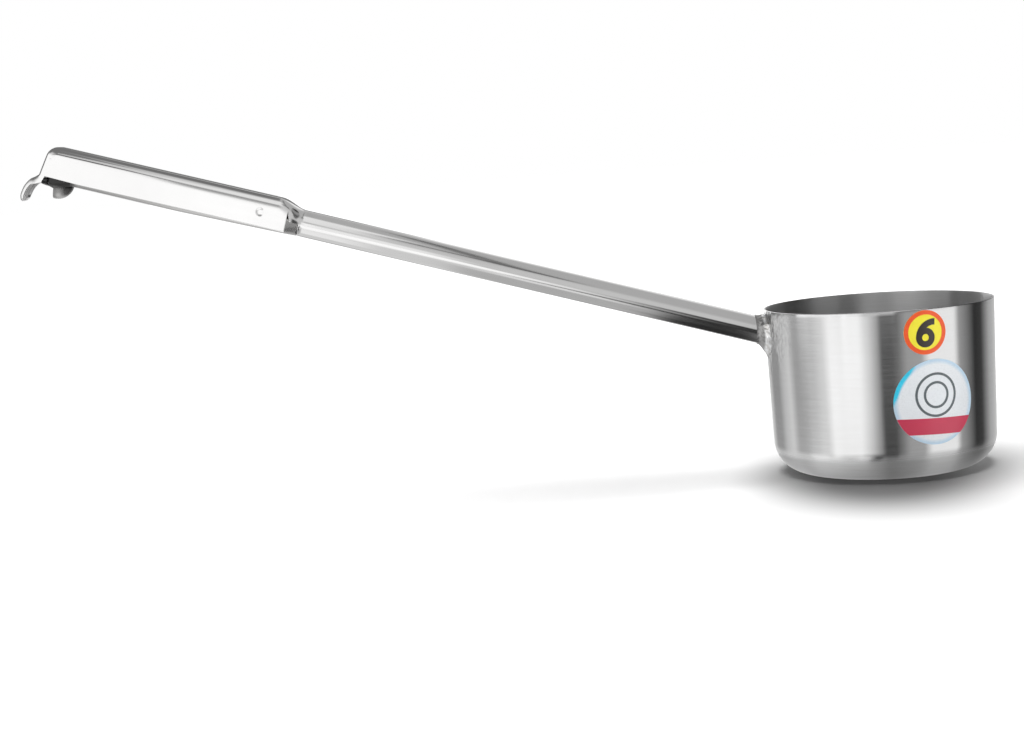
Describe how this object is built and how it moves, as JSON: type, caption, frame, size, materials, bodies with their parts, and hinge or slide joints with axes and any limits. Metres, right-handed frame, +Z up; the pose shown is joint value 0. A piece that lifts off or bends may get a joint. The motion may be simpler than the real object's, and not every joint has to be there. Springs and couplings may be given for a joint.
{
  "type": "gravy server",
  "caption": "Deep straight-sided stainless steel serving ladle with a welded tubular handle, channel-shaped grip and hooked end for resting on a pot rim.",
  "frame": {"origin": "centre of the cup's flat outer base", "axes": "+Z up through the cup's open mouth, the handle rises towards -X, -Y is the side with the stickers"},
  "size_m": [0.3681, 0.087, 0.1452],
  "materials": {
    "bowl_steel": "satin, brushed around the cup",
    "handle_steel": "polished",
    "underside_steel": "mill finish",
    "spot_weld_steel": "dull fused spot",
    "weld_bead_steel": "rippled weld metal",
    "yellow_paper": "printed film, semi-gloss",
    "orange_ink": "printed ink, semi-gloss",
    "black_ink": "printed ink, semi-gloss",
    "silver_foil": "silvery white film with a pale blue edge",
    "crimson_ink": "printed ink, semi-gloss",
    "grey_ink": "printed ink, semi-gloss"
  },
  "bodies": {
    "root": {"bowl": "bowl_steel", "handle": "handle_steel", "grip_underside": "underside_steel", "spot_welds": "spot_weld_steel", "bowl_weld": "weld_bead_steel", "size_sticker": "yellow_paper", "size_sticker_ring": "orange_ink", "size_sticker_number": "black_ink", "label_foil": "silver_foil", "label_band": "crimson_ink", "label_rings": "grey_ink"}
  },
  "joints": []
}
